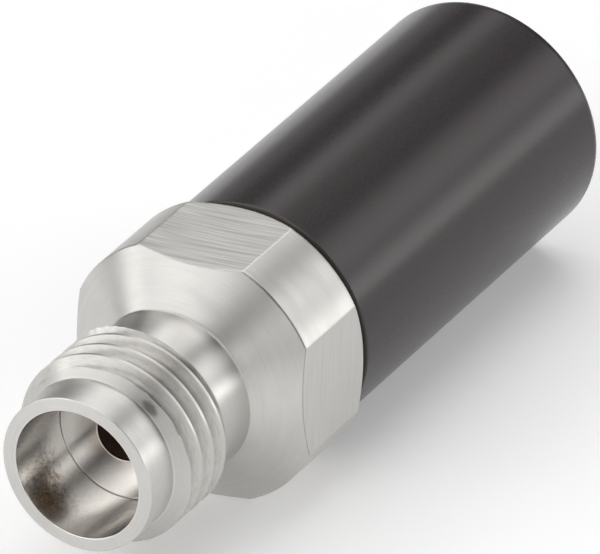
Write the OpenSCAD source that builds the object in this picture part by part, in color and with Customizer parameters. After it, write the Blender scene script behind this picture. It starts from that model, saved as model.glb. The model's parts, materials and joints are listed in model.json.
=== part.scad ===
// Coaxial mismatch termination with a 1.85 mm class female interface.
// It lies on its side with one wrench flat up: the mouth faces -Y and the sleeve's closed end +Y.
// Each piece is drawn along its own axis, from the closed end up to the mouth, and then laid down.

/* [Mouth and thread] */
// Bore of the mouth
mouth_bore_d = 4.77; // [4.7:0.01:4.9]
// Depth of the mouth, from its rim to the mating plane
mouth_depth = 2.9; // [2.4:0.1:3.4]
// Bevel on the inner edge of the mouth
mouth_bevel = 0.05; // [0.02:0.01:0.1]
// Break on the outer edge of the mouth
rim_break = 0.03; // [0.01:0.01:0.08]
// Diameter of the plain barrel in front of the thread
barrel_d = 5.76; // [5.5:0.02:6]
// Length of the plain barrel
barrel_len = 1.47; // [1:0.01:2.5]
// Outer diameter of the M7 x 0.75 thread
thread_d = 6.84; // [6.6:0.02:7]
// Length of the thread, with its lead cone
thread_len = 2.91; // [2.4:0.01:5]
// Pitch of the thread
thread_pitch = 0.75; // [0.7:0.01:0.9]
// Depth of the thread
thread_depth = 0.4; // [0.3:0.01:0.44]
// Width of the thread's crests
thread_crest_w = 0.12; // [0.06:0.01:0.16]
// Distance from the barrel to the middle of the first full crest
thread_first = 0.88; // [0.5:0.01:1.2]
// Axial length of the cone that leads onto the thread
thread_lead = 0.32; // [0.2:0.01:0.6]
// Axial length of the cone at the rear end of the thread
thread_runout = 0.1; // [0.1:0.05:0.6]
// Diameter of the neck behind the thread
neck_d = 6; // [5:0.05:6.4]
// Length of the neck, with the thread's rear cone
neck_len = 2; // [1.2:0.01:4]

/* [Wrench collar] */
// Diameter of the round collar
collar_d = 9.8; // [9.4:0.05:11]
// Distance across each pair of opposite wrench flats
flat_af = 8.9; // [8.6:0.05:9.2]
// Length of the collar between its shoulder and its rear chamfer
collar_len = 3.31; // [2:0.01:6]
// Axial length of the conical shoulder in front of the collar
shoulder_len = 1.36; // [0.8:0.01:2.5]
// Chamfer at the rear of the collar, at 45 degrees
collar_chamfer = 0.5; // [0.3:0.05:0.8]

/* [Sleeve] */
// Outer diameter of the sleeve
sleeve_d = 9; // [8.6:0.05:9.4]
// Length of the sleeve
sleeve_len = 16.3; // [15.5:0.1:30]
// Wall of the sleeve
sleeve_wall = 0.7; // [0.5:0.05:0.9]
// Thickness of the sleeve's closed rear end
sleeve_floor = 1.5; // [0.8:0.1:2.5]
// Rounding of the sleeve's rear edge
sleeve_round = 0.25; // [0.1:0.05:0.5]
// Break on the front edges of the sleeve
sleeve_break = 0.04; // [0.02:0.01:0.1]
// Gap between the collar and the front of the sleeve
sleeve_gap = 0.15; // [0.05:0.01:0.3]

/* [Seal] */
// Section diameter of the seal ring
seal_d = 0.45; // [0.3:0.05:0.6]
// Width of the seal's groove
seal_groove_w = 0.65; // [0.62:0.01:0.8]
// Distance from the front of the sleeve to the middle of the groove
seal_back = 1; // [0.8:0.1:2]

/* [Air line] */
// Bore of the outer conductor
line_bore_d = 1.85; // [1.7:0.01:2.2]
// Diameter of the inner conductor, for 50 ohms in the outer conductor's bore
conductor_d = 0.804; // [0.76:0.002:0.9]
// Distance from the mating plane back to the support bead
line_len = 4; // [3:0.1:5]
// How far the socket contact lies behind the mating plane
contact_recess = 0.05; // [0:0.01:0.2]
// Bore of the socket contact
socket_d = 0.52; // [0.45:0.01:0.6]
// Depth of the socket contact's bore
socket_depth = 1.5; // [1:0.1:2]
// Width of the slots between the socket's fingers
socket_slot_w = 0.08; // [0.05:0.01:0.15]
// Length of the slots between the socket's fingers
socket_slot_len = 1.3; // [0.8:0.1:1.8]
// Bevel on the front edges of the socket contact
socket_bevel = 0.05; // [0.02:0.01:0.08]
// Diameter of the stud that joins the two inner conductors
stud_d = 0.36; // [0.3:0.02:0.44]
// Length of the stud inside the socket contact
stud_grip = 1; // [0.6:0.1:1.5]
// Diameter of the support bead
bead_d = 2.9; // [2.4:0.1:3.6]
// Thickness of the support bead
bead_t = 0.8; // [0.5:0.05:1.2]
// Length of the bush behind the bead
bush_len = 0.8; // [0.4:0.1:1.4]
// Length of the inner conductor behind the bead
pin_len = 3.4; // [3:0.1:4.4]

/* [Resistor] */
// Diameter of the resistor's ceramic rod
rod_d = 0.66; // [0.5:0.02:0.7]
// Length of the resistor's ceramic rod
rod_len = 4.9; // [4:0.1:6]
// How far each ferrule covers the rod
cap_grip = 0.5; // [0.3:0.05:0.6]
// Length of the front ferrule, without its pin
cap_len = 1; // [0.8:0.05:1.6]
// Diameter of the front ferrule's pin
cap_pin_d = 0.36; // [0.3:0.02:0.44]
// Length of the front ferrule's pin
cap_pin_len = 0.9; // [0.5:0.05:1.5]
// Diameter of the rear ferrule
ground_cap_d = 0.9; // [0.84:0.02:1.1]
// Length of the rear ferrule
ground_cap_len = 0.9; // [0.7:0.05:1.5]

/* [Load housing] */
// Bore of the body behind the bush, which holds the load
load_bore_d = 5.66; // [5.4:0.02:5.9]
// Radial gap between the rear ferrule and the narrow end of the taper
taper_gap = 0.05; // [0.02:0.01:0.1]
// Diameter of the key pin
key_d = 0.5; // [0.3:0.05:0.6]
// Length of the key pin
key_len = 1.4; // [1:0.1:2]
// Outer diameter of the ground collet
collet_d = 2; // [1.6:0.1:2.4]
// Length of the collet inside the housing
collet_len = 2.6; // [2.2:0.1:3.6]
// Diameter of the collet's flange
collet_flange_d = 3.2; // [2.8:0.1:3.5]
// Thickness of the collet's flange
collet_flange_t = 0.5; // [0.3:0.05:0.8]
// Width of the collet's slots
collet_slot_w = 0.15; // [0.1:0.01:0.2]
// Length of the collet's slots
collet_slot_len = 1.8; // [1.2:0.1:2]
// Thread diameter between the housing and the collet nut
nut_thread_d = 3.9; // [3.7:0.1:4.4]
// Overlap of the collet nut and the housing
nut_grip = 1.4; // [1:0.1:2]
// Thickness of the collet nut's floor
nut_floor = 0.7; // [0.4:0.05:1]
// Hole in the collet nut's floor
nut_hole_d = 1.2; // [0.8:0.1:1.6]

/* [Clamping stack] */
// Thickness of the thrust washer
washer_t = 0.6; // [0.4:0.05:0.8]
// Hole in the thrust washer
washer_hole_d = 2.4; // [2:0.1:3]
// Thickness of a disc spring
spring_t = 0.25; // [0.15:0.01:0.3]
// Height of a disc spring's cone
spring_cone = 0.15; // [0.08:0.01:0.2]
// Hole in a disc spring
spring_hole_d = 2.7; // [2.2:0.1:3.2]
// Length of the clamp nut
clamp_len = 2.4; // [1.6:0.1:2.8]
// Hole through the clamp nut
clamp_hole_d = 2; // [1.4:0.1:3]
// Width of the clamp nut's driver slot
clamp_slot_w = 0.8; // [0.5:0.05:1.2]
// Depth of the clamp nut's driver slot
clamp_slot_depth = 0.9; // [0.5:0.05:1.2]

/* [Fits] */
// Radial clearance between parts that slide together
slide_fit = 0.02; // [0.01:0.005:0.03]
// Axial clearance at the ends of studs and pins in their holes
end_play = 0.1; // [0.05:0.01:0.2]
// Radial clearance round the washers, springs and collet nut in their bore
loose_fit = 0.08; // [0.05:0.01:0.15]

/* [Hidden] */
$fn = 96;

// Heights of the outside along the axis, from the closed rear end up to the mouth
z_collar_rear = sleeve_len + sleeve_gap;
z_collar = z_collar_rear + collar_chamfer;
z_shoulder = z_collar + collar_len;
z_neck = z_shoulder + shoulder_len;
z_thread = z_neck + neck_len;
z_barrel = z_thread + thread_len;
z_mouth = z_barrel + barrel_len;
z_first_groove = z_barrel - thread_first + thread_pitch / 2;

// Heights of the air line, from the mating plane down
z_line = z_mouth - mouth_depth;
z_contact = z_line - contact_recess;
z_bead = z_line - line_len;
z_bush = z_bead - bead_t;
z_load = z_bush - bush_len;
z_pin_rear = z_bush - pin_len;

// Heights of the resistor and its ferrules
z_cap_rear = z_pin_rear - cap_len;
z_rod_front = z_cap_rear + cap_grip;
z_rod_rear = z_rod_front - rod_len;
z_ground = z_rod_rear + cap_grip;
z_ground_rear = z_ground - ground_cap_len;

// Heights of the load housing and of the stack that clamps it
z_housing_rear = z_ground - collet_len;
z_nut_front = z_housing_rear + nut_grip;
z_flange_rear = z_housing_rear - collet_flange_t;
z_washer = z_flange_rear - nut_floor;
z_springs = z_washer - washer_t;
spring_h = spring_t + spring_cone;
spring_count = 4;
z_clamp = z_springs - spring_count * spring_h;
z_clamp_rear = z_clamp - clamp_len;

// Radii
mouth_r = mouth_bore_d / 2;
barrel_r = barrel_d / 2;
thread_r = thread_d / 2;
thread_root_r = thread_r - thread_depth;
neck_r = neck_d / 2;
collar_r = collar_d / 2;
sleeve_r = sleeve_d / 2;
sleeve_bore_r = sleeve_r - sleeve_wall;
spigot_r = sleeve_bore_r - slide_fit;
groove_r = sleeve_bore_r - seal_d;
load_bore_r = load_bore_d / 2;
line_bore_r = line_bore_d / 2;
conductor_r = conductor_d / 2;
bead_r = bead_d / 2;
bead_bore_r = bead_r + slide_fit;
rod_bore_d = rod_d + 2 * slide_fit;
collet_bore_d = collet_d + 2 * slide_fit;
nut_bore_d = nut_thread_d + 2 * slide_fit;
taper_end_r = ground_cap_d / 2 + taper_gap;
key_place = (bead_bore_r + load_bore_r) / 2;
z_groove = sleeve_len - seal_back;
axis_height = max(sleeve_r, flat_af / 2);

// Colours
steel = [0.78, 0.77, 0.74];
black_anodised = [0.22, 0.21, 0.22];
gold_plate = [0.86, 0.70, 0.36];
brass = [0.78, 0.64, 0.36];
spring_steel = [0.55, 0.55, 0.56];
bead_plastic = [0.90, 0.88, 0.80];
white_ceramic = [0.93, 0.92, 0.89];
seal_rubber = [0.10, 0.10, 0.10];

// Lays a piece down with its axis level, so that the whole part rests on the floor about the origin
module lay_down() {
    translate([0, z_mouth / 2, axis_height])
        rotate([90, 0, 0])
            children();
}

// A ring between two heights, or a disc where the bore is left out
module ring(z_low, z_high, d_out, d_in = 0) {
    rotate_extrude()
        translate([d_in / 2, z_low])
            square([(d_out - d_in) / 2, z_high - z_low]);
}

// Crossed slots that cut a tube's end into four fingers, from z_low up to z_high
module cross_slots(z_low, z_high, width, reach) {
    for (turn = [0, 90])
        rotate([0, 0, turn])
            translate([-reach, -width / 2, z_low])
                cube([2 * reach, width, z_high - z_low]);
}

// The dowel that keys the load housing to the body, larger by a clearance on the radius and at each end
module key_shape(clearance = 0, end_clearance = 0) {
    translate([key_place, 0, z_load - key_len / 2 - end_clearance])
        cylinder(r = key_d / 2 + clearance, h = key_len + 2 * end_clearance);
}

module body_section() {
    polygon([
        [load_bore_r, sleeve_floor],
        [spigot_r, sleeve_floor],
        [spigot_r, z_groove - seal_groove_w / 2],
        [groove_r, z_groove - seal_groove_w / 2],
        [groove_r, z_groove + seal_groove_w / 2],
        [spigot_r, z_groove + seal_groove_w / 2],
        [spigot_r, z_collar_rear],
        [collar_r - collar_chamfer, z_collar_rear],
        [collar_r, z_collar],
        [collar_r, z_shoulder],
        [neck_r, z_neck],
        [neck_r, z_thread - thread_runout],
        [thread_r, z_thread],
        [thread_r, z_barrel - thread_lead],
        [barrel_r, z_barrel],
        [barrel_r, z_mouth - rim_break],
        [barrel_r - rim_break, z_mouth],
        [mouth_r + mouth_bevel, z_mouth],
        [mouth_r, z_mouth - mouth_bevel],
        [mouth_r, z_line],
        [line_bore_r, z_line],
        [line_bore_r, z_bead],
        [bead_bore_r, z_bead],
        [bead_bore_r, z_load],
        [load_bore_r, z_load]
    ]);
}

// One groove of the thread, with flanks at 60 degrees to each other
module groove_section(z_middle) {
    past = 0.05;
    root_half = (thread_pitch - thread_crest_w) / 2 - thread_depth * tan(30);
    outer_half = root_half + (thread_depth + past) * tan(30);
    polygon([
        [thread_root_r, z_middle - root_half],
        [thread_r + past, z_middle - outer_half],
        [thread_r + past, z_middle + outer_half],
        [thread_root_r, z_middle + root_half]
    ]);
}

// The thread's grooves, as plain rings at its pitch in place of the helix
module thread_grooves() {
    for (z_middle = [z_first_groove : -thread_pitch : z_thread])
        rotate_extrude() groove_section(z_middle);
}

// The four wrench flats, as the material that milling takes away
module flat_cuts() {
    for (side = [0 : 90 : 270])
        rotate([0, 0, side])
            translate([flat_af / 2, -collar_d, z_collar_rear])
                cube([collar_d, 2 * collar_d, z_neck - z_collar_rear]);
}

module connector_body() {
    color(steel) lay_down()
        difference() {
            rotate_extrude() body_section();
            flat_cuts();
            thread_grooves();
            key_shape(slide_fit, end_play);
        }
}

// The sleeve's section, with broken front edges; the circle rounds the rear edge
module sleeve_section() {
    polygon([
        [0, 0],
        [sleeve_r - sleeve_round, 0],
        [sleeve_r, sleeve_round],
        [sleeve_r, sleeve_len - sleeve_break],
        [sleeve_r - sleeve_break, sleeve_len],
        [sleeve_bore_r + sleeve_break, sleeve_len],
        [sleeve_bore_r, sleeve_len - sleeve_break],
        [sleeve_bore_r, sleeve_floor],
        [0, sleeve_floor]
    ]);
    translate([sleeve_r - sleeve_round, sleeve_round])
        circle(r = sleeve_round);
}

module sleeve() {
    color(black_anodised) lay_down()
        rotate_extrude() sleeve_section();
}

module o_ring() {
    color(seal_rubber) lay_down()
        rotate_extrude()
            translate([sleeve_bore_r - seal_d / 2, z_groove])
                circle(r = seal_d / 2 - slide_fit);
}

module socket_contact() {
    color(gold_plate) lay_down()
        difference() {
            rotate_extrude()
                polygon([
                    [0, z_bead],
                    [conductor_r, z_bead],
                    [conductor_r, z_contact - socket_bevel],
                    [conductor_r - socket_bevel, z_contact],
                    [socket_d / 2 + socket_bevel, z_contact],
                    [socket_d / 2, z_contact - socket_bevel],
                    [socket_d / 2, z_contact - socket_depth],
                    [0, z_contact - socket_depth]
                ]);
            cross_slots(z_contact - socket_slot_len, z_mouth, socket_slot_w, conductor_d);
            translate([0, 0, z_bead - end_play])
                cylinder(r = stud_d / 2 + slide_fit, h = stud_grip + 2 * end_play);
        }
}

module support_bead() {
    color(bead_plastic) lay_down()
        ring(z_bush, z_bead, bead_d, stud_d + 2 * slide_fit);
}

module centre_pin() {
    color(gold_plate) lay_down()
        difference() {
            union() {
                ring(z_pin_rear, z_bush, conductor_d);
                ring(z_bush, z_bead + stud_grip, stud_d);
            }
            translate([0, 0, z_pin_rear - end_play])
                cylinder(r = cap_pin_d / 2 + slide_fit, h = cap_pin_len + 2 * end_play);
        }
}

module line_bush() {
    color(gold_plate) lay_down()
        ring(z_load, z_bush, bead_d, line_bore_d);
}

module input_cap() {
    color(gold_plate) lay_down()
        difference() {
            union() {
                ring(z_cap_rear, z_pin_rear, conductor_d);
                ring(z_pin_rear, z_pin_rear + cap_pin_len, cap_pin_d);
            }
            ring(z_cap_rear - end_play, z_rod_front, rod_bore_d);
        }
}

module resistor_rod() {
    color(white_ceramic) lay_down()
        ring(z_rod_rear, z_rod_front, rod_d);
}

module ground_cap() {
    color(gold_plate) lay_down()
        difference() {
            ring(z_ground_rear, z_ground, ground_cap_d);
            ring(z_rod_rear, z_ground + end_play, rod_bore_d);
        }
}

module load_housing() {
    color(brass) lay_down()
        difference() {
            rotate_extrude()
                polygon([
                    [line_bore_r, z_load],
                    [line_bore_r, z_cap_rear],
                    [taper_end_r, z_ground],
                    [collet_bore_d / 2, z_ground],
                    [collet_bore_d / 2, z_housing_rear],
                    [nut_thread_d / 2, z_housing_rear],
                    [nut_thread_d / 2, z_nut_front + end_play],
                    [load_bore_r - slide_fit, z_nut_front + end_play],
                    [load_bore_r - slide_fit, z_load]
                ]);
            key_shape(slide_fit, end_play);
        }
}

module key_pin() {
    color(spring_steel) lay_down()
        key_shape();
}

module ground_collet() {
    color(gold_plate) lay_down()
        difference() {
            union() {
                ring(z_housing_rear, z_ground, collet_d);
                ring(z_flange_rear, z_housing_rear, collet_flange_d);
            }
            ring(z_flange_rear - end_play, z_ground + end_play, ground_cap_d + 2 * slide_fit);
            cross_slots(z_ground - collet_slot_len, z_ground + end_play, collet_slot_w, collet_d);
        }
}

module collet_nut() {
    color(brass) lay_down()
        difference() {
            ring(z_washer, z_nut_front, load_bore_d - 2 * loose_fit);
            ring(z_flange_rear, z_nut_front + end_play, nut_bore_d);
            ring(z_washer - end_play, z_flange_rear + end_play, nut_hole_d);
        }
}

module thrust_washer() {
    color(spring_steel) lay_down()
        ring(z_springs, z_washer, load_bore_d - 2 * loose_fit, washer_hole_d);
}

// One disc spring, counted from the front; each lies the other way up from the one before it
module disc_spring(index) {
    z_low = z_springs - index * spring_h;
    rim_low = index % 2 == 1 ? spring_cone : 0;
    hole_low = spring_cone - rim_low;
    color(spring_steel) lay_down()
        rotate_extrude()
            polygon([
                [spring_hole_d / 2, z_low + hole_low],
                [load_bore_r - loose_fit, z_low + rim_low],
                [load_bore_r - loose_fit, z_low + rim_low + spring_t],
                [spring_hole_d / 2, z_low + hole_low + spring_t]
            ]);
}

module clamp_nut() {
    color(steel) lay_down()
        difference() {
            ring(z_clamp_rear, z_clamp, load_bore_d - 2 * slide_fit, clamp_hole_d);
            translate([-load_bore_r, -clamp_slot_w / 2, z_clamp_rear - end_play])
                cube([load_bore_d, clamp_slot_w, clamp_slot_depth + end_play]);
        }
}

connector_body();
sleeve();
o_ring();
socket_contact();
support_bead();
centre_pin();
line_bush();
input_cap();
resistor_rod();
ground_cap();
load_housing();
key_pin();
ground_collet();
collet_nut();
thrust_washer();
disc_spring(1);  // disc_spring_1
disc_spring(2);  // disc_spring_2
disc_spring(3);  // disc_spring_3
disc_spring(4);  // disc_spring_4
clamp_nut();
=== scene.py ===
"""Looks of the coaxial mismatch termination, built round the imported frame.

The part lies on its side: the mouth faces -Y, the sleeve's closed end +Y, and one wrench flat +Z.
Lengths along the axis are counted from the mouth, in millimetres, and turned into metres at the end.
Angles round the axis are counted from the upper flat toward +X.
"""
import json
import math

import bmesh
import bpy
import numpy as np
from mathutils import Matrix, Vector


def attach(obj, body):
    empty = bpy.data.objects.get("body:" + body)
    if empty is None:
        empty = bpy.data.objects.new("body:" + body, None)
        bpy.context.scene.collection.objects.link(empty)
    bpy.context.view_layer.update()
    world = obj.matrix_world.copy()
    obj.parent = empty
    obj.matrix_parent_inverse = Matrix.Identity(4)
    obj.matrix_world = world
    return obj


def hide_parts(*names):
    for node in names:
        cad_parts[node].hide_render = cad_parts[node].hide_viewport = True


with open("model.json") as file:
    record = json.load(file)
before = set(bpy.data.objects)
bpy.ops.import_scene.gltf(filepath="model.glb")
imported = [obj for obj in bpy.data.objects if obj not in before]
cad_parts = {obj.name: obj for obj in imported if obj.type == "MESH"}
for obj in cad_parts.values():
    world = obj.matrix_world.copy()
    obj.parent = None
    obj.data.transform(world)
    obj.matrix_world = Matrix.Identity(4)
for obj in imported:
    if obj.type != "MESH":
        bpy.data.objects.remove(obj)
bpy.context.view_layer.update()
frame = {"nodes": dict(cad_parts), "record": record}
MM = 0.001
FULL_TURN = 2 * math.pi


def millimetres(metres):
    """A length of the frame in millimetres, to the nearest micrometre."""
    return round(metres / MM, 3)


# Sizes from the mounts in the frame's record: the origin is midway, and the sleeve touches the floor
MOUNTS = {mount["name"]: mount for mount in frame["record"]["mounts"]}
MOUTH_R = MOUNTS["mouth_bore"]["dims"]["r_mm"]
THREAD_R = MOUNTS["coupling_thread"]["dims"]["r_mm"]
LENGTH = millimetres(2 * MOUNTS["rear_face"]["pos_m"][1])
MOUTH_DEPTH = millimetres(MOUNTS["rear_face"]["pos_m"][1] + MOUNTS["mating_plane"]["pos_m"][1])
AXIS_Z = millimetres(MOUNTS["rear_face"]["pos_m"][2])
FLAT = millimetres(MOUNTS["wrench_flat_a"]["pos_m"][2] - MOUNTS["rear_face"]["pos_m"][2])
SLEEVE_R = AXIS_Z

# Sizes repeated from part.scad, in millimetres
LINE_BORE_R = 0.925
LINE_LEN = 4.0
BEAD_BORE_R = 1.47
LOAD_BORE_R = 2.83
LOAD_DEPTH = 8.5
BARREL_R = 2.88
BARREL_END = 1.47
THREAD_LEN = 2.91
PITCH = 0.75
NECK_R = 3.0
NECK_LEN = 2.0
SHOULDER_LEN = 1.36
COLLAR_R = 4.9
COLLAR_LEN = 3.31
COLLAR_CHAMFER = 0.5
SLEEVE_GAP = 0.15
SLEEVE_WALL = 0.7
SLEEVE_FLOOR = 1.5
SLIDE_FIT = 0.02
GROOVE_R = 3.35
GROOVE_MID = 12.7
GROOVE_W = 0.65

# Depths from the mouth, radii and a slope worked out from them
THREAD_END = BARREL_END + THREAD_LEN
NECK_END = THREAD_END + NECK_LEN
SHOULDER_END = NECK_END + SHOULDER_LEN
CHAMFER_START = SHOULDER_END + COLLAR_LEN
COLLAR_END = CHAMFER_START + COLLAR_CHAMFER
SLEEVE_FRONT = COLLAR_END + SLEEVE_GAP
SPIGOT_END = LENGTH - SLEEVE_FLOOR
SLEEVE_BORE_R = SLEEVE_R - SLEEVE_WALL
SPIGOT_R = SLEEVE_BORE_R - SLIDE_FIT
SHOULDER_SLOPE = (COLLAR_R - NECK_R) / SHOULDER_LEN

# The thread: one of its crests passes the depth THREAD_PHASE at the angle THREAD_PHASE_AT, and the last
# flank meets the thread's end at the radius LAST_FLANK_R
THREAD_PHASE = 2.35
THREAD_PHASE_AT = math.radians(42.25)
CREST_HALF = 0.06
FLANK_SLOPE = math.sqrt(3)
LAST_FLANK_R = 3.21
# The burr: its middle and half its width round the axis, its reach and height, and two waves of its outline
BURR_AT = math.radians(-24)
BURR_HALF = math.radians(19)
BURR_REACH = 0.09
BURR_HEIGHT = 0.06
BURR_WAVES = (97, 41)

# Columns of points round the axis, and the bevel and guard at each corner of the flats, in degrees
FLAT_COLUMNS = 44
ROUND_COLUMNS = 34
SLEEVE_COLUMNS = 256
CORNER_EASE = 0.16
CORNER_GUARD = 0.45
# Roundings, and distances of the rows that keep the shading of long sides flat, in millimetres
EDGE = 0.028
GUARD = 0.045
TURNED_ROUND = 0.03
NECK_ROUND = 0.06
SLEEVE_FRONT_ROUND = 0.04
SLEEVE_REAR_ROUND = 0.36
CREST_GUARD = 0.02
FLANK_INSET = (0.05, 0.04)
FLANK_ROWS = 5
FOOT_GUARD = 0.015
END_FOOT_GAP = 0.02
END_FOOT_RUN = 0.025
NECK_FROM = 4.75
SHOULDER_RUN = 0.35
CHAMFER_RUN = 0.1
BARREL_RUN = 0.3
BARREL_GUARD = 0.02
REAR_RUN = 1.0
# A rounding takes at most this part of each of its two sides
ROUNDING_SHARE = 0.45
# Points this near each other, in metres, are joined, and edges past this angle stay sharp
WELD_DISTANCE = 2e-7
SHARP_ANGLE = math.radians(38)

# Linear colours and roughnesses of the steel
TURNED_TONES = ((0.574, 0.562, 0.539), (0.632, 0.617, 0.593))
MILLED_TONES = ((0.48, 0.469, 0.449), (0.715, 0.701, 0.676))
MOUTH_TONE = (0.69, 0.672, 0.648)
TURNED_ROUGHNESS = (0.365, 0.405)
MILLED_ROUGHNESS = 0.4
NECK_ROUGHNESS = 0.31
FILLET_ROUGHNESS = 0.95
MOUTH_ROUGHNESS = 0.22
STEEL_ANISOTROPY = 0.6
# The cutter's marks on a flat are arcs: their middle (mm), their bend (1/mm), and how plain they are
# on all flats but the upper one
MILLING_MIDDLE = 2.5
MILLING_BEND = 0.022
FAINT_CUT = 0.18
# The radius counts as this much depth in the turning marks, so that faces square to the axis have rings
FACING_MARKS = 0.6
# Heights of the bump in millimetres
TOOL_MARKS = 0.003
ETCHED_GRAIN = 0.001
# What lies over the steel's colour, in this order: its share and its colour; several layers are painted shade
# and painted highlights
STEEL_LAYERS = {
    # Painted shade: the neck between the thread and the shoulder is darkened
    "neck": (0.28, (0.40, 0.39, 0.372)),
    # A near-white line along the corner of the neck and the shoulder, on one side: painted highlight
    "fillet": (0.9, (0.95, 0.945, 0.93)),
    # A dark line along the arc where the shoulder meets the side flat: painted shade
    "side_arc": (0.6, (0.16, 0.15, 0.14)),
    # A light line along the arc where the shoulder meets the upper flat: painted highlight
    "upper_arc": (0.7, (0.80, 0.79, 0.78)),
    # Brownish streaks over the thread's flanks and roots
    "grime": (0.27, (0.36, 0.32, 0.28)),
    "soot": (0.85, (0.17, 0.15, 0.13)),
    "rust": (0.95, (0.22, 0.155, 0.095)),
    # A dark ring in the inner corner at the bottom of the mouth: painted shade
    "seam": (0.7, (0.16, 0.15, 0.14)),
    "rim": (0.12, (0.84, 0.83, 0.81)),
    "lead_cone": (0.2, (0.40, 0.39, 0.372)),
    "lead_smear": (0.75, (0.14, 0.135, 0.13)),
    "last_turn_smear": (0.4, (0.30, 0.27, 0.2)),
    # Light dashes along the flats' sharp edges: worn edges with a painted highlight
    "nicks": (0.55, (0.70, 0.70, 0.68)),
    # Dark brown on the line bore's wall: painted shade in the narrow hole, tinted brown
    "line_bore": (0.8, (0.34, 0.22, 0.16)),
    # Dark on the collar's rear face and the spigot in the gap before the sleeve: painted shade
    "joint": (0.7, (0.08, 0.074, 0.07)),
}
# Where the lead cone's tone ends, and the radii of the painted shade where the collar meets the sleeve
LEAD_END = 1.8
JOINT_RADII = (3.0, 4.15)
# Smears on the outside: depth, angle, half of their depth and half of their angle, with angles in degrees
SMEARS = {
    "lead_smear": (1.57, 41.0, 0.11, 8.5),
    "last_turn_smear": (4.15, 37.0, 0.25, 13.0),
}
SMEAR_RAGGED = 0.45
# Stains on the mouth's bore: depth, angle in degrees, and reach
MOUTH_STAINS = {
    "soot": (1.4, 245.0, 1.15),
    "rust": (0.9, 227.0, 1.35),
}
STAIN_RAGGED = 1.2

# The sleeve's two tones, and the lighter tone of its front face, which is painted light
ANODISED_TONES = ((0.0375, 0.0320, 0.0330), (0.0475, 0.0412, 0.0425))
ANODISED_FRONT = (0.115, 0.103, 0.097)
ANODISED_ROUGHNESS = (0.21, 0.245)

# Plain turned metals by slot: name, two tones and roughness
TURNED_METALS = {
    "gold_plated_copper": ("gold_plate", (0.80, 0.55, 0.21), (0.88, 0.64, 0.28), 0.2),
    "turned_brass": ("brass", (0.70, 0.52, 0.24), (0.80, 0.62, 0.31), 0.3),
    "spring_steel": ("tempered_steel", (0.36, 0.35, 0.34), (0.46, 0.45, 0.45), 0.34),
}
# Rubber, plastic and ceramic by slot: name, two tones, roughness, and the grain's scale and depth (mm)
MOULDED = {
    "seal_rubber": ("rubber", (0.018, 0.018, 0.018), (0.035, 0.034, 0.033), 0.62, 9.0, 0.006),
    "bead_plastic": ("bead_plastic", (0.76, 0.70, 0.52), (0.84, 0.79, 0.63), 0.42, 6.0, 0.003),
    "white_ceramic": ("ceramic", (0.80, 0.79, 0.75), (0.88, 0.87, 0.84), 0.6, 12.0, 0.004),
}

# The photograph's viewpoint, in millimetres, and the lens and sensor in the camera's own millimetres
CAMERA_AT = (194.6396, -323.6142, 218.8701)
CAMERA_RIGHT = (0.865205, 0.500653, -0.027697)
CAMERA_UP = (-0.226029, 0.438728, 0.869729)
LENS = 761.13
SENSOR = 36.0
# The nearest and the farthest that the camera sees, in metres
CLIP = (0.01, 10.0)

# Soft boxes: azimuth from +Y toward +X, elevation, half width, half height (degrees), strength
SOFT_BOXES = {
    "right_low": (51, 1, 17, 12, 3.15),
    "right_back": (43, 29, 16, 13, 2.1),
    "back_high": (0, 54, 20, 8, 3.15),
    "back_low": (-40, 10, 22, 10, 0.35),
    "left_high": (-65, 48, 37, 7, 2.05),
    "left": (-110, 18, 12, 6, 3.2),
    "front_left_low": (-147, 4, 19, 9, 3.7),
    "front_left_high": (-155, 38, 32, 6.5, 3.6),
    "front": (147, 16, 16, 8, 1.7),
    "overhead": (-40, 87, 23, 21, 1.15),
}
# The part of a box's half width and half height over which its light fades, inward and outward
EDGE_SOFTNESS = 0.5
# Heights on the unit sphere between which the low white band fades out
HORIZON_LOW = math.sin(math.radians(2.3))
HORIZON_HIGH = math.sin(math.radians(3.5))
# The floor: its glow, its tone, and half of its side in metres
FLOOR_GLOW = 0.25
FLOOR_TONE = 0.95
FLOOR_HALF = 3.0


def place(points):
    """Points (radial x, radial z, depth) in millimetres to the row's frame in metres."""
    points = np.asarray(points, float)
    return np.stack([points[..., 0], points[..., 2] - LENGTH / 2, points[..., 1] + AXIS_Z], -1) * MM


def mesh_object(name, verts, faces):
    """A new object in the scene, with a mesh of the given points and faces."""
    mesh = bpy.data.meshes.new(name)
    mesh.from_pydata([tuple(v) for v in verts], [], [tuple(f) for f in faces])
    mesh.update()
    obj = bpy.data.objects.new(name, mesh)
    bpy.context.scene.collection.objects.link(obj)
    return obj


def column_angles():
    """Angles round the axis, in radians; a narrow bevel splits each corner of the flats."""
    half = math.degrees(math.acos(FLAT / COLLAR_R))
    inset = CORNER_EASE + CORNER_GUARD
    quadrant = []
    for low, high, count in ((-half, half, FLAT_COLUMNS), (half, 90 - half, ROUND_COLUMNS)):
        inner = np.linspace(low + inset, high - inset, count)
        quadrant += [low + CORNER_EASE, *inner, high - CORNER_EASE]
    return np.radians(np.concatenate([np.array(quadrant) + 90 * q for q in range(4)]))


ANGLES = column_angles()
COLUMNS = len(ANGLES)


def collar_radius(angle):
    """The collar's outline: a circle cut by four flats."""
    delta = (angle + math.pi / 4) % (math.pi / 2) - math.pi / 4
    return np.minimum(COLLAR_R, FLAT / np.cos(delta))


# Along each column: the collar's radius, and the depths where the shoulder and the rear chamfer meet it
OUTLINE = collar_radius(ANGLES)
SHOULDER_EDGE = NECK_END + (OUTLINE - NECK_R) / SHOULDER_SLOPE
CHAMFER_EDGE = CHAMFER_START + (COLLAR_R - OUTLINE)


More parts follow.
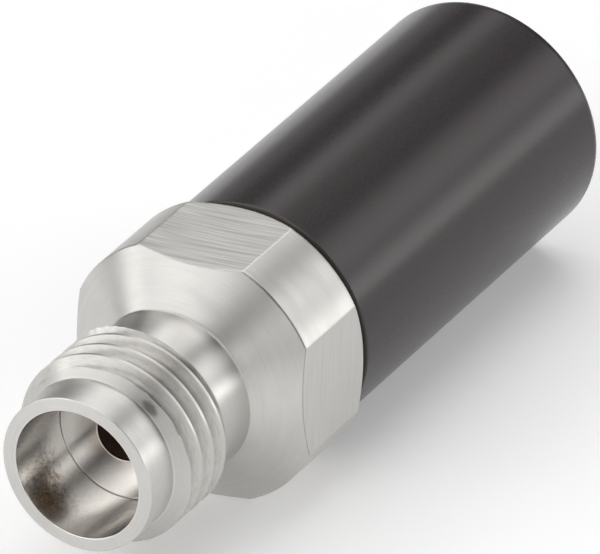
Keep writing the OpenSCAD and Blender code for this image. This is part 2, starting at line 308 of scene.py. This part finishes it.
def ring(depth, radius, angles=ANGLES):
    """One closed ring of points at a depth and a radius, which may differ from column to column."""
    depth = np.broadcast_to(np.asarray(depth, float), angles.shape)
    radius = np.broadcast_to(np.asarray(radius, float), angles.shape)
    return place(np.stack([radius * np.sin(angles), radius * np.cos(angles), depth], -1))


def quads(rows, columns, joined):
    """Faces of a grid of points, row by row; in a joined grid the last column meets the first."""
    faces = []
    for i in range(rows - 1):
        for j in range(columns if joined else columns - 1):
            k = (j + 1) % columns
            near, far = i * columns, (i + 1) * columns
            faces.append((near + j, near + k, far + k, far + j))
    return faces


def tube(rings):
    """Points and faces of an open tube through rings of equal length."""
    return np.concatenate(rings), quads(len(rings), len(rings[0]), joined=True)


def crest_depth(angle):
    """Depth of one crest of the right-hand helix at an angle."""
    return THREAD_PHASE + PITCH * (angle - THREAD_PHASE_AT) / FULL_TURN


def burr(depth, angle):
    """Height of the ragged burr where the last turn runs out."""
    turn = (angle - BURR_AT + math.pi) % FULL_TURN - math.pi
    near = np.clip(1 - (turn / BURR_HALF) ** 2, 0, 1)
    near = near * np.clip(1 - np.abs(depth - THREAD_END) / BURR_REACH, 0, 1)
    fast, slow = BURR_WAVES
    jagged = 0.5 + 0.5 * np.sin(fast * turn) * np.sin(slow * turn + 0.7)
    return BURR_HEIGHT * near * jagged


def thread_radius(depth, angle):
    """Radius of the helical thread, cut back by the lead cone; a round flank ends it."""
    away = np.abs((depth - crest_depth(angle) + PITCH / 2) % PITCH - PITCH / 2)
    flank = THREAD_R - np.clip(away - CREST_HALF, 0, None) * FLANK_SLOPE
    last_flank = LAST_FLANK_R - (THREAD_END - depth) * FLANK_SLOPE
    thread = np.clip(np.maximum(flank, last_flank), NECK_R, THREAD_R)
    lead = BARREL_R + (depth - BARREL_END) * FLANK_SLOPE
    return np.minimum(thread + burr(depth, angle), np.maximum(lead, BARREL_R))


def thread_offsets():
    """Distances from a crest at which the thread has a row of points, closer at its profile's corners."""
    foot = CREST_HALF + (THREAD_R - NECK_R) / FLANK_SLOPE
    marks = [0.0, CREST_HALF - CREST_GUARD, CREST_HALF, CREST_HALF + CREST_GUARD]
    below_crest, above_foot = FLANK_INSET
    marks += list(np.linspace(CREST_HALF + below_crest, foot - above_foot, FLANK_ROWS))
    marks += [foot - FOOT_GUARD, foot, foot + FOOT_GUARD]
    return sorted({*marks, *[-m for m in marks], -PITCH / 2})


def thread_patch():
    """Points and faces that follow the helix between the barrel's end and the neck."""
    angles = np.append(ANGLES, ANGLES[0] + FULL_TURN)
    first = math.floor((BARREL_END - THREAD_PHASE) / PITCH) - 1
    count = math.ceil((THREAD_END - BARREL_END) / PITCH) + 3
    rows = []
    for turn in range(first, first + count):
        for offset in thread_offsets():
            rows.append(np.clip(crest_depth(angles) + PITCH * turn + offset, BARREL_END, THREAD_END))
    depth = np.array(rows)
    angle = np.broadcast_to(angles, depth.shape)
    radius = thread_radius(depth, angle)
    points = place(np.stack([radius * np.sin(angle), radius * np.cos(angle), depth], -1))
    return points.reshape(-1, 3), quads(len(rows), len(angles), joined=False)


def rounded(points, radius, steps=3):
    """A polyline with rounded corners: each becomes a few points of a curve that joins its two sides."""
    out = [points[0]]
    for before, corner, after in zip(points, points[1:], points[2:]):
        before, corner, after = (np.array(point, float) for point in (before, corner, after))
        back, ahead = before - corner, after - corner
        back_length, ahead_length = np.linalg.norm(back), np.linalg.norm(ahead)
        cut = min(radius, back_length * ROUNDING_SHARE, ahead_length * ROUNDING_SHARE)
        start, end = corner + back / back_length * cut, corner + ahead / ahead_length * cut
        for s in np.linspace(0, 1, steps + 1):
            out.append(tuple((1 - s) ** 2 * start + 2 * s * (1 - s) * corner + s ** 2 * end))
    out.append(points[-1])
    return out


def guarded(points):
    """Extra points near both ends of each long side, which keep the shading of the sides flat."""
    out = []
    for start, end in zip(points, points[1:]):
        start, end = np.array(start, float), np.array(end, float)
        out.append(tuple(start))
        length = np.linalg.norm(end - start)
        if length > 3 * GUARD:
            step = (end - start) * GUARD / length
            out += [tuple(start + step), tuple(end - step)]
    out.append(points[-1])
    return out


def finish_mesh(obj):
    """Joins points that coincide, turns all faces outward and shades smoothly between sharp edges."""
    mesh = bmesh.new()
    mesh.from_mesh(obj.data)
    bmesh.ops.remove_doubles(mesh, verts=mesh.verts, dist=WELD_DISTANCE)
    bmesh.ops.recalc_face_normals(mesh, faces=mesh.faces)
    mesh.to_mesh(obj.data)
    mesh.free()
    obj.data.shade_smooth()
    obj.data.set_sharp_from_angle(angle=SHARP_ANGLE)


def neck_rings():
    """From the thread's end over the neck and up the conical shoulder to the collar."""
    end_radius = thread_radius(np.full(COLUMNS, THREAD_END), ANGLES)
    foot = THREAD_END + (end_radius - NECK_R) / FLANK_SLOPE + END_FOOT_GAP
    rings = [ring(THREAD_END, end_radius), ring(foot, NECK_R), ring(foot + END_FOOT_RUN, NECK_R)]
    shoulder_from = NECK_END + SHOULDER_RUN
    corner = [
        (NECK_FROM, NECK_R),
        (NECK_END, NECK_R),
        (shoulder_from, NECK_R + SHOULDER_RUN * SHOULDER_SLOPE),
    ]
    rings += [ring(*point) for point in guarded(rounded(corner, NECK_ROUND, 4))]
    for share in (0.25, 0.5, 0.75):
        depth = shoulder_from + share * (SHOULDER_EDGE - EDGE - GUARD - shoulder_from)
        rings.append(ring(depth, NECK_R + (depth - NECK_END) * SHOULDER_SLOPE))
    along = np.array([1, SHOULDER_SLOPE]) / math.hypot(1, SHOULDER_SLOPE)
    for back in (EDGE + GUARD, EDGE):
        rings.append(ring(SHOULDER_EDGE - back * along[0], OUTLINE - back * along[1]))
    return rings


def collar_rings():
    """The collar with its flats, and the first edge of its rear chamfer."""
    front, rear = SHOULDER_EDGE + EDGE, CHAMFER_EDGE - EDGE
    rings = [ring(front, OUTLINE)]
    for share in (0, 0.33, 0.67, 1):
        rings.append(ring(front + GUARD + share * (rear - front - 2 * GUARD), OUTLINE))
    rings.append(ring(rear, OUTLINE))
    step = EDGE / math.sqrt(2)
    rings += [ring(CHAMFER_EDGE + k * step, OUTLINE - k * step) for k in (1, 2)]
    return rings


def inner_rings():
    """From the rear chamfer over the spigot, back through the bores, and out over the mouth to the barrel."""
    groove_front, groove_rear = GROOVE_MID - GROOVE_W / 2, GROOVE_MID + GROOVE_W / 2
    bead_depth = MOUTH_DEPTH + LINE_LEN
    profile = [
        (COLLAR_END - CHAMFER_RUN, COLLAR_R - COLLAR_CHAMFER + CHAMFER_RUN),
        (COLLAR_END, COLLAR_R - COLLAR_CHAMFER),
        (COLLAR_END, SPIGOT_R),
        (groove_front, SPIGOT_R),
        (groove_front, GROOVE_R),
        (groove_rear, GROOVE_R),
        (groove_rear, SPIGOT_R),
        (SPIGOT_END, SPIGOT_R),
        (SPIGOT_END, LOAD_BORE_R),
        (LOAD_DEPTH, LOAD_BORE_R),
        (LOAD_DEPTH, BEAD_BORE_R),
        (bead_depth, BEAD_BORE_R),
        (bead_depth, LINE_BORE_R),
        (MOUTH_DEPTH, LINE_BORE_R),
        (MOUTH_DEPTH, MOUTH_R),
        (0.0, MOUTH_R),
        (0.0, BARREL_R),
        (BARREL_END - BARREL_RUN, BARREL_R),
    ]
    first, second, *rest = guarded(rounded(profile, TURNED_ROUND))
    rings = []
    for depth, _ in (first, second):
        # On the flats the chamfer is short: there both rings fall on the one before and are welded to it
        depth = np.maximum(depth, CHAMFER_EDGE + math.sqrt(2) * EDGE)
        rings.append(ring(depth, COLLAR_R - (depth - CHAMFER_START)))
    rings += [ring(*point) for point in rest]
    rings += [ring(BARREL_END - BARREL_GUARD, BARREL_R), ring(BARREL_END, BARREL_R)]
    return rings


def make_body():
    """The turned and milled connector body, as one closed mesh."""
    points, faces = tube(neck_rings() + collar_rings() + inner_rings())
    patch_points, patch_faces = thread_patch()
    faces += [tuple(v + len(points) for v in face) for face in patch_faces]
    turned = mesh_object("connector_body_turned", np.concatenate([points, patch_points]), faces)
    finish_mesh(turned)
    return turned


def make_sleeve():
    """The closed sleeve, with broken front edges and a round rear edge; its floor meets the spigot."""
    rear_from = LENGTH - REAR_RUN
    front = [
        (SPIGOT_END, 0.0),
        (SPIGOT_END, SLEEVE_BORE_R),
        (SLEEVE_FRONT, SLEEVE_BORE_R),
        (SLEEVE_FRONT, SLEEVE_R),
        (rear_from, SLEEVE_R),
    ]
    rear = [(rear_from, SLEEVE_R), (LENGTH, SLEEVE_R), (LENGTH, REAR_RUN)]
    outer = rounded(front, SLEEVE_FRONT_ROUND)[:-1] + rounded(rear, SLEEVE_REAR_ROUND, 8)
    angles = np.linspace(0, FULL_TURN, SLEEVE_COLUMNS, endpoint=False)
    points, faces = tube([ring(*point, angles) for point in guarded(outer + [(LENGTH, 0.0)])])
    shell = mesh_object("sleeve_shell", points, faces)
    finish_mesh(shell)
    return shell


class Nodes:
    """Short calls for building one material's or world's node tree."""

    def __init__(self, tree):
        self.tree = tree
        tree.nodes.clear()

    def add(self, kind, inputs=(), **settings):
        """A new node; an input that is a socket is linked, and any other is set as a value."""
        node = self.tree.nodes.new(kind)
        for key, value in settings.items():
            setattr(node, key, value)
        for key, value in dict(inputs).items():
            target = node.inputs[key]
            if isinstance(value, bpy.types.NodeSocket):
                self.tree.links.new(value, target)
            else:
                target.default_value = value
        return node

    def math(self, operation, *values):
        """The result of an operation on numbers."""
        return self.add("ShaderNodeMath", dict(enumerate(values)), operation=operation).outputs[0]

    def times(self, first, second):
        return self.math("MULTIPLY", first, second)

    def plus(self, first, second):
        return self.math("ADD", first, second)

    def minus(self, first, second):
        return self.math("SUBTRACT", first, second)

    def over(self, first, second):
        return self.math("DIVIDE", first, second)

    def vector(self, operation, *values):
        """The result of an operation on vectors: a number or another vector."""
        outputs = self.add("ShaderNodeVectorMath", dict(enumerate(values)), operation=operation).outputs
        return outputs["Value"] if operation in ("LENGTH", "DOT_PRODUCT", "DISTANCE") else outputs[0]

    def combine(self, *values):
        """A vector from three numbers."""
        return self.add("ShaderNodeCombineXYZ", dict(enumerate(values))).outputs[0]

    def span(self, value, low, high, to_low, to_high):
        """A value between two limits, eased and mapped to two others."""
        inputs = {0: value, 1: low, 2: high, 3: to_low, 4: to_high}
        return self.add("ShaderNodeMapRange", inputs, interpolation_type="SMOOTHSTEP").outputs[0]

    def rise(self, value, low, high):
        """0 below both limits and 1 above them."""
        return self.span(value, low, high, 0.0, 1.0)

    def fall(self, value, low, high):
        """1 below both limits and 0 above them."""
        return self.span(value, low, high, 1.0, 0.0)

    def spread(self, noise, low, high):
        """Noise, most of which lies between 0.3 and 0.7, brought between two other values."""
        return self.span(noise, 0.3, 0.7, low, high)

    def noise(self, vector, scale=1.0, detail=2.0, roughness=0.5):
        """Cloudy noise between 0 and 1 at a point."""
        inputs = {"Vector": vector, "Scale": scale, "Detail": detail, "Roughness": roughness}
        return self.add("ShaderNodeTexNoise", inputs).outputs[0]

    def mix(self, share, first, second):
        """Two colours or plain numbers mixed by a share."""
        if isinstance(first, (int, float)) or isinstance(second, (int, float)):
            return self.add("ShaderNodeMix", {0: share, 2: first, 3: second}, data_type="FLOAT").outputs[0]
        first, second = (v if isinstance(v, bpy.types.NodeSocket) else (*v, 1.0) for v in (first, second))
        return self.add("ShaderNodeMix", {0: share, 6: first, 7: second}, data_type="RGBA").outputs[2]

    def bump(self, height, depth_mm):
        """A normal from a height between 0 and 1, which stands for a depth in millimetres."""
        inputs = {"Strength": 1.0, "Distance": depth_mm * MM, "Height": height}
        return self.add("ShaderNodeBump", inputs).outputs[0]

    def seen_directly(self):
        """1 for rays from the camera or off a polished or clear surface, and 0 for rays that gather light."""
        path = self.add("ShaderNodeLightPath").outputs
        reflected = self.math("MAXIMUM", path["Is Glossy Ray"], path["Is Transmission Ray"])
        return self.math("MAXIMUM", path["Is Camera Ray"], reflected)

    def surface(self, **sockets):
        """A Principled shader as the material's surface."""
        named = {}
        for name, value in sockets.items():
            named[name.replace("_", " ").title().replace("Ior", "IOR")] = value
        shader = self.add("ShaderNodeBsdfPrincipled", named)
        self.add("ShaderNodeOutputMaterial", {0: shader.outputs[0]})


class AxisFrame:
    """Places on the surface, in millimetres about the part's axis."""

    def __init__(self, n):
        point = n.add("ShaderNodeTexCoord").outputs["Object"]
        in_mm = n.vector("MULTIPLY", point, (1 / MM, 1 / MM, 1 / MM))
        self.n = n
        self.point = n.vector("SUBTRACT", in_mm, (0.0, -LENGTH / 2, AXIS_Z))
        parts = n.add("ShaderNodeSeparateXYZ", {0: self.point}).outputs
        self.across, self.depth, self.height = parts[0], parts[1], parts[2]
        self.radius = n.vector("LENGTH", n.combine(self.across, 0.0, self.height))
        self.farthest = n.math("MAXIMUM", n.math("ABSOLUTE", self.across), n.math("ABSOLUTE", self.height))

    def between(self, value, low, high, ease=0.02):
        """1 where a value lies between two limits, and 0 outside them."""
        n = self.n
        return n.times(n.rise(value, low - ease, low + ease), n.fall(value, high - ease, high + ease))

    def turning(self, per_mm, wander, detail=2.0):
        """Noise that runs round the axis, as the marks of a turning tool do, and strays by the wander."""
        n = self.n
        along = n.plus(self.depth, n.times(self.radius, FACING_MARKS))
        east = n.times(n.over(self.across, self.radius), wander)
        north = n.times(n.over(self.height, self.radius), wander)
        return n.noise(n.combine(n.times(along, per_mm), east, north), detail=detail)

    def flats(self):
        """1 on the collar's four wrench flats."""
        return self.n.rise(self.farthest, FLAT - 0.012, FLAT - 0.002)

    def milling(self, per_mm, wander):
        """Noise in the long shallow arcs that a milling cutter leaves across a flat."""
        n = self.n
        side = n.plus(self.across, self.height)
        bend = n.times(n.math("POWER", n.minus(side, MILLING_MIDDLE), 2.0), MILLING_BEND)
        along = n.times(n.minus(self.depth, bend), per_mm)
        return n.noise(n.combine(along, n.times(side, wander), 0.0))

    def flat_edges(self):
        """1 in a narrow band along the sharp sides of the wrench flats."""
        n = self.n
        outside = n.rise(self.radius, COLLAR_R - 0.022, COLLAR_R - 0.01)
        return n.times(outside, n.rise(self.farthest, FLAT - 0.022, FLAT - 0.01))

    def arc_edge(self, outward):
        """1 along the arc where the shoulder's cone meets a flat, whose outward coordinate is given."""
        n = self.n
        cone = n.plus(n.times(n.minus(self.depth, NECK_END), SHOULDER_SLOPE), NECK_R)
        near_cone = n.fall(n.math("ABSOLUTE", n.minus(self.radius, cone)), 0.012, 0.042)
        return n.times(near_cone, n.rise(outward, FLAT - 0.035, FLAT - 0.012))

    def fillet(self):
        """1 along the corner between the neck and the shoulder's cone, on the upper right side, where a
        highlight is painted.
        """
        depths = self.between(self.depth, NECK_END - 0.035, NECK_END + 0.03)
        radii = self.between(self.radius, NECK_R - 0.1, NECK_R + 0.1)
        return self.n.times(self.n.times(depths, radii), self.facing(35.0, 62.0))

    def facing(self, degrees, ease):
        """1 on the side of the part at an angle round the axis, and less away from it."""
        n = self.n
        angle = math.radians(degrees)
        toward = n.vector("DOT_PRODUCT", self.point, (math.sin(angle), 0.0, math.cos(angle)))
        return n.rise(n.over(toward, self.radius), math.cos(math.radians(ease)), 1.0)

    def smear(self, depth, degrees, half_depth, half_degrees):
        """1 at a point of the surface, fading out over a patch that is long round the axis."""
        n = self.n
        turn = n.minus(n.math("ARCTAN2", self.across, self.height), math.radians(degrees))
        along = n.over(n.minus(self.depth, depth), half_depth)
        around = n.over(turn, math.radians(half_degrees))
        ragged = n.times(n.minus(n.noise(self.point, 7.0, 3.0), 0.5), SMEAR_RAGGED)
        return n.fall(n.plus(n.vector("LENGTH", n.combine(along, around, 0.0)), ragged), 0.4, 1.0)

    def mouth_stain(self, depth, degrees, reach):
        """1 at a point of the mouth's bore and 0 beyond a ragged edge."""
        n = self.n
        angle = math.radians(degrees)
        spot = (MOUTH_R * math.sin(angle), depth, MOUTH_R * math.cos(angle))
        away = n.vector("DISTANCE", self.point, spot)
        stray = n.times(n.minus(n.noise(self.point, 4.5, 4.0, 0.65), 0.5), STAIN_RAGGED * reach)
        return n.fall(n.plus(away, stray), 0.0, reach)


def new_material(name):
    """A new material and the short calls for its node tree."""
    material = bpy.data.materials.new(name)
    material.use_nodes = True
    return material, Nodes(material.node_tree)


def steel_places(n, at, in_mouth, cut):
    """Where the steel is worn or stained, and where shade and highlights are painted: a share from 0 to 1 for
    each of STEEL_LAYERS.
    """
    neck_depths = at.between(at.depth, THREAD_END + 0.3, NECK_END, 0.03)
    thread_depths = at.between(at.depth, LEAD_END - 0.05, THREAD_END + 0.17, 0.2)
    roots = n.times(thread_depths, at.between(at.radius, NECK_R - 0.05, THREAD_R - 0.06, 0.06))
    speckle = n.span(n.noise(at.point, 16.0, 3.0, 0.6), 0.38, 0.6, 0.45, 1.0)
    corner = n.times(at.between(at.depth, MOUTH_DEPTH - 0.022, MOUTH_DEPTH + 0.02, 0.01), in_mouth)
    lead_depths = at.between(at.depth, BARREL_END + 0.02, LEAD_END)
    joint_depths = at.between(at.depth, COLLAR_END - 0.03, LENGTH)
    places = {
        # The neck is darkened here: painted shade between the thread and the shoulder
        "neck": n.times(neck_depths, at.between(at.radius, NECK_R - 0.2, NECK_R + 0.05)),
        # Painted highlight along the corner of the neck and the shoulder
        "fillet": at.fillet(),
        # Painted shade along the side flat's arc
        "side_arc": at.arc_edge(at.across),
        # Painted highlight along the upper flat's arc
        "upper_arc": at.arc_edge(at.height),
        "grime": n.times(roots, n.rise(at.turning(12.0, 9.0, 4.0), 0.44, 0.66)),
        # Painted shade in the mouth's inner corner
        "seam": n.times(corner, n.rise(at.radius, MOUTH_R - 0.03, MOUTH_R - 0.015)),
        "rim": n.times(n.fall(at.depth, 0.04, 0.08), n.rise(at.radius, MOUTH_R, MOUTH_R + 0.05)),
        "lead_cone": n.times(lead_depths, n.rise(at.radius, BARREL_R + 0.03, BARREL_R + 0.08)),
        # Worn edges and painted highlight along the flats
        "nicks": n.times(at.flat_edges(), n.span(cut, 0.46, 0.6, 0.1, 1.0)),
        # Painted shade in the line bore
        "line_bore": n.fall(at.radius, LINE_BORE_R + 0.01, LINE_BORE_R + 0.03),
        # Painted shade in the gap between the collar and the sleeve
        "joint": n.times(joint_depths, at.between(at.radius, *JOINT_RADII, 0.1)),
    }
    for name, values in SMEARS.items():
        places[name] = at.smear(*values)
    for name, values in MOUTH_STAINS.items():
        places[name] = n.times(in_mouth, n.times(speckle, at.mouth_stain(*values)))
    return places


def steel_material():
    """Turned and milled stainless steel: its reflections spread across the tool marks."""
    material, n = new_material("turned_stainless")
    at = AxisFrame(n)
    flats = at.flats()
    fine = at.turning(17.0, 1.6, 3.0)
    # The cutter's marks are plain on the upper flat and faint on the others
    upper = n.span(at.height, FLAT - 0.15, FLAT - 0.05, FAINT_CUT, 1.0)
    cut = n.plus(n.times(n.minus(at.milling(15.0, 0.3), 0.5), upper), 0.5)
    bore = n.fall(at.radius, MOUTH_R + 0.03, MOUTH_R + 0.07)
    in_mouth = n.times(bore, n.fall(at.depth, MOUTH_DEPTH + 0.06, MOUTH_DEPTH + 0.12))
    places = steel_places(n, at, in_mouth, cut)

    cloud = n.noise(at.point, 0.9, 3.0, 0.6)
    turned = n.mix(n.spread(n.mix(0.5, fine, cloud), 0.0, 1.0), *TURNED_TONES)
    milled = n.mix(n.rise(cut, 0.32, 0.68), *MILLED_TONES)
    colour = n.mix(in_mouth, n.mix(flats, turned, milled), MOUTH_TONE)
    for name, (share, layer) in STEEL_LAYERS.items():
        colour = n.mix(n.times(places[name], share), colour, layer)

    roughness = n.mix(flats, n.spread(at.turning(3.0, 2.0), *TURNED_ROUGHNESS), MILLED_ROUGHNESS)
    roughness = n.mix(places["neck"], roughness, NECK_ROUGHNESS)
    roughness = n.mix(places["fillet"], roughness, FILLET_ROUGHNESS)
    height = n.mix(flats, n.span(fine, 0.0, 1.0, 0.35, 0.65), n.rise(cut, 0.2, 0.8))
    n.surface(
        base_color=colour,
        metallic=1.0,
        roughness=n.mix(in_mouth, roughness, MOUTH_ROUGHNESS),
        anisotropic=STEEL_ANISOTROPY,
        anisotropic_rotation=0.25,
        tangent=n.add("ShaderNodeTangent", direction_type="RADIAL", axis="Y").outputs[0],
        normal=n.bump(height, TOOL_MARKS),
    )
    return material


def anodised_material():
    """Satin black anodised aluminium, faintly warm, with a fine etched grain and painted light on its front
    face.
    """
    material, n = new_material("black_anodised")
    at = AxisFrame(n)
    grain = n.noise(at.point, 13.0, 3.0, 0.6)
    # The front face is painted lighter than the rest: painted light in the gap behind the collar
    front = n.fall(at.depth, SLEEVE_FRONT + 0.005, SLEEVE_FRONT + 0.02)
    black = n.mix(n.spread(grain, 0.0, 1.0), *ANODISED_TONES)
    n.surface(
        base_color=n.mix(front, black, ANODISED_FRONT),
        roughness=n.spread(grain, *ANODISED_ROUGHNESS),
        ior=1.4,
        specular_tint=(1.0, 0.92, 0.93, 1.0),
        normal=n.bump(grain, ETCHED_GRAIN),
    )
    return material


def turned_metal(name, dark, light, roughness):
    """A plain turned metal, in two close tones, with fine marks round the axis."""
    material, n = new_material(name)
    at = AxisFrame(n)
    marks = at.turning(14.0, 1.0, 3.0)
    n.surface(
        base_color=n.mix(n.spread(n.noise(at.point, 1.2), 0.0, 1.0), dark, light),
        metallic=1.0,
        roughness=n.spread(marks, roughness - 0.05, roughness + 0.05),
        normal=n.bump(marks, TOOL_MARKS),
    )
    return material


def moulded_material(name, dark, light, roughness, grain_scale, grain_depth):
    """A plastic, rubber or ceramic with a fine grain in its colour and surface."""
    material, n = new_material(name)
    grain = n.noise(AxisFrame(n).point, grain_scale, 3.0, 0.6)
    n.surface(
        base_color=n.mix(n.spread(grain, 0.0, 1.0), dark, light),
        roughness=n.spread(grain, roughness - 0.06, roughness + 0.06),
        normal=n.bump(grain, grain_depth),
    )
    return material


def dress_nodes(body, sleeve):
    """Gives every piece and every carried-over node the finish of its material slot."""
    finishes = {"stainless_steel": steel_material(), "black_anodised_aluminium": anodised_material()}
    finishes |= {slot: turned_metal(*values) for slot, values in TURNED_METALS.items()}
    finishes |= {slot: moulded_material(*values) for slot, values in MOULDED.items()}
    slots = {part["node"]: part["material_slot"] for part in frame["record"]["subparts"]}
    for name, node in frame["nodes"].items():
        for material_slot in node.material_slots:
            material_slot.material = finishes[slots[name]]
    for piece, slot in ((body, "stainless_steel"), (sleeve, "black_anodised_aluminium")):
        piece.data.materials.append(finishes[slot])


def floor_material():
    """Pale and diffuse, with a glow that only the camera and reflections see, so that it reads as white."""
    material, n = new_material("pale_floor")
    diffuse = n.add("ShaderNodeBsdfDiffuse", {"Color": (FLOOR_TONE, FLOOR_TONE, FLOOR_TONE, 1)})
    strength = n.times(n.seen_directly(), FLOOR_GLOW)
    glow = n.add("ShaderNodeEmission", {"Color": (1, 1, 1, 1), "Strength": strength})
    both = n.add("ShaderNodeAddShader", {0: diffuse.outputs[0], 1: glow.outputs[0]})
    n.add("ShaderNodeOutputMaterial", {0: both.outputs[0]})
    material.cycles.emission_sampling = "NONE"
    return material


def make_floor():
    """A square floor under the part."""
    corners = [(x * FLOOR_HALF, y * FLOOR_HALF, 0) for x, y in ((-1, -1), (1, -1), (1, 1), (-1, 1))]
    floor = mesh_object("floor", corners, [(0, 1, 2, 3)])
    floor.data.materials.append(floor_material())


def make_camera():
    """The photograph's viewpoint, with the picture's middle as its optical centre."""
    data = bpy.data.cameras.new("photo_camera")
    camera = bpy.data.objects.new("photo_camera", data)
    bpy.context.scene.collection.objects.link(camera)
    right, up = Vector(CAMERA_RIGHT), Vector(CAMERA_UP)
    turn = Matrix((right, up, right.cross(up))).transposed().to_4x4()
    camera.matrix_world = Matrix.Translation(Vector(CAMERA_AT) * MM) @ turn
    data.sensor_width = SENSOR
    data.lens = LENS
    data.clip_start, data.clip_end = CLIP
    bpy.context.scene.camera = camera


def soft_box(n, direction, azimuth, elevation, half_width, half_height, strength):
    """Radiance of one soft-edged rectangular light, seen in a direction."""
    azimuth, elevation = math.radians(azimuth), math.radians(elevation)
    level = math.cos(elevation)
    centre = Vector((level * math.sin(azimuth), level * math.cos(azimuth), math.sin(elevation)))
    right = Vector((math.cos(azimuth), -math.sin(azimuth), 0))
    up = right.cross(centre)
    ahead = n.vector("DOT_PRODUCT", direction, centre)
    mask = n.math("GREATER_THAN", ahead, 0.0)
    for side, half in ((right, half_width), (up, half_height)):
        angle = n.math("ABSOLUTE", n.math("ARCTAN2", n.vector("DOT_PRODUCT", direction, side), ahead))
        inner = math.radians(half * (1 - EDGE_SOFTNESS))
        outer = math.radians(half * (1 + EDGE_SOFTNESS))
        mask = n.times(mask, n.fall(angle, inner, outer))
    return n.times(mask, strength)


def make_world():
    """Soft boxes in the dark; a low white band carries the floor's white on above its far edge."""
    world = bpy.data.worlds.new("studio")
    bpy.context.scene.world = world
    world.use_nodes = True
    n = Nodes(world.node_tree)
    direction = n.vector("NORMALIZE", n.add("ShaderNodeTexCoord").outputs["Generated"])
    height = n.add("ShaderNodeSeparateXYZ", {0: direction}).outputs[2]
    band = n.times(n.fall(height, HORIZON_LOW, HORIZON_HIGH), n.seen_directly())
    lights, *others = [soft_box(n, direction, *box) for box in SOFT_BOXES.values()]
    for box in others:
        lights = n.plus(lights, box)
    strength = n.math("MAXIMUM", lights, band)
    background = n.add("ShaderNodeBackground", {"Color": (1, 1, 1, 1), "Strength": strength})
    n.add("ShaderNodeOutputWorld", {0: background.outputs[0]})


body = make_body()
sleeve = make_sleeve()
for piece, node in ((body, "connector_body"), (sleeve, "sleeve")):
    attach(piece, "root")
    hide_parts(node)
dress_nodes(body, sleeve)
make_floor()
make_world()
make_camera()
bpy.context.scene.view_settings.view_transform = "Standard"

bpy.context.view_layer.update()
